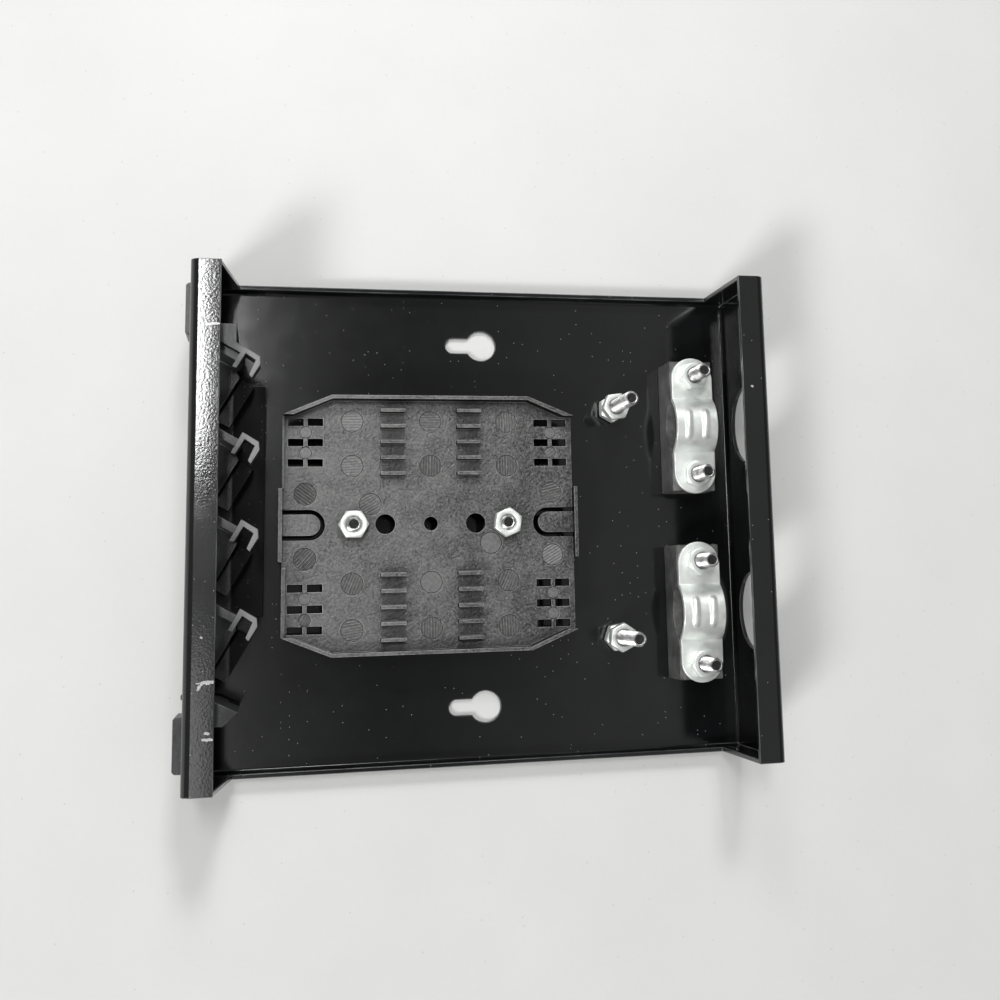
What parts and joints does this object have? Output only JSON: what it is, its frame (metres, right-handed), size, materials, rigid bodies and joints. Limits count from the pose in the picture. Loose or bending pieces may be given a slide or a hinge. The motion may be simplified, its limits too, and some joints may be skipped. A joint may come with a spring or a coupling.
{
  "type": "fiber termination box",
  "caption": "Open wall-mount fibre termination box: folded steel base with angled adapter ports, a splice tray, cable clamps and threaded posts.",
  "frame": {"origin": "centre of the base's flat underside", "axes": "+X along the box towards the cable-entry wall, +Y across it, +Z out of the open side"},
  "size_m": [0.1541, 0.13, 0.0335],
  "materials": {
    "black_powder_coat": "satin powder coat with fine orange peel",
    "dark_grey_plastic": "moulded, satin",
    "black_plastic": "moulded, speckled, satin",
    "black_rubber": "matte",
    "bright_zinc": "bright zinc plating, slightly brushed",
    "stud_zinc": "zinc-plated thread"
  },
  "bodies": {
    "base": {"base_tray": "black_powder_coat", "adapter_holder": "dark_grey_plastic", "splice_tray": "black_plastic", "tray_stud_1": "stud_zinc", "tray_stud_2": "stud_zinc", "tray_nut_1": "bright_zinc", "tray_nut_2": "bright_zinc", "post_stud_1": "stud_zinc", "post_lower_nut_1": "bright_zinc", "post_stud_2": "stud_zinc", "post_lower_nut_2": "bright_zinc", "clamp_block_1": "black_rubber", "clamp_stud_1a": "stud_zinc", "clamp_stud_1b": "stud_zinc", "clamp_block_2": "black_rubber", "clamp_stud_2a": "stud_zinc", "clamp_stud_2b": "stud_zinc"},
    "post_upper_nut_1": {"post_upper_nut_1": "bright_zinc"},
    "post_upper_nut_2": {"post_upper_nut_2": "bright_zinc"},
    "clamp_strap_1": {"clamp_strap_1": "bright_zinc"},
    "clamp_nut_1a": {"clamp_nut_1a": "bright_zinc"},
    "clamp_nut_1b": {"clamp_nut_1b": "bright_zinc"},
    "clamp_strap_2": {"clamp_strap_2": "bright_zinc"},
    "clamp_nut_2a": {"clamp_nut_2a": "bright_zinc"},
    "clamp_nut_2b": {"clamp_nut_2b": "bright_zinc"}
  },
  "joints": [
    {"name": "post_upper_nut_1_lift", "type": "slide", "parent": "base", "child": "post_upper_nut_1", "axis": [0, 0, 1], "range_m": [-0.0008, 0.0157]},
    {"name": "post_upper_nut_2_lift", "type": "slide", "parent": "base", "child": "post_upper_nut_2", "axis": [0, 0, 1], "range_m": [-0.0008, 0.0157]},
    {"name": "clamp_strap_1_lift", "type": "slide", "parent": "base", "child": "clamp_strap_1", "axis": [0, 0, 1], "range_m": [0, 0.008]},
    {"name": "clamp_nut_1a_turn", "type": "hinge", "parent": "clamp_strap_1", "child": "clamp_nut_1a", "pos_m": [0.0605, 0.04, 0.0135], "axis": [0, 0, 1], "range_deg": [0, 4114.8]},
    {"name": "clamp_nut_1b_turn", "type": "hinge", "parent": "clamp_strap_1", "child": "clamp_nut_1b", "pos_m": [0.0605, 0.012, 0.0135], "axis": [0, 0, 1], "range_deg": [0, 4114.8]},
    {"name": "clamp_strap_2_lift", "type": "slide", "parent": "base", "child": "clamp_strap_2", "axis": [0, 0, 1], "range_m": [0, 0.008]},
    {"name": "clamp_nut_2a_turn", "type": "hinge", "parent": "clamp_strap_2", "child": "clamp_nut_2a", "pos_m": [0.0605, -0.012, 0.0135], "axis": [0, 0, 1], "range_deg": [0, 4114.8]},
    {"name": "clamp_nut_2b_turn", "type": "hinge", "parent": "clamp_strap_2", "child": "clamp_nut_2b", "pos_m": [0.0605, -0.04, 0.0135], "axis": [0, 0, 1], "range_deg": [0, 4114.8]}
  ],
  "couplings": [
    {"joint": "clamp_nut_1a_turn", "follows": "clamp_strap_1_lift", "rad_per_m": 8976},
    {"joint": "clamp_nut_1b_turn", "follows": "clamp_strap_1_lift", "rad_per_m": 8976},
    {"joint": "clamp_nut_2a_turn", "follows": "clamp_strap_2_lift", "rad_per_m": 8976},
    {"joint": "clamp_nut_2b_turn", "follows": "clamp_strap_2_lift", "rad_per_m": 8976}
  ]
}
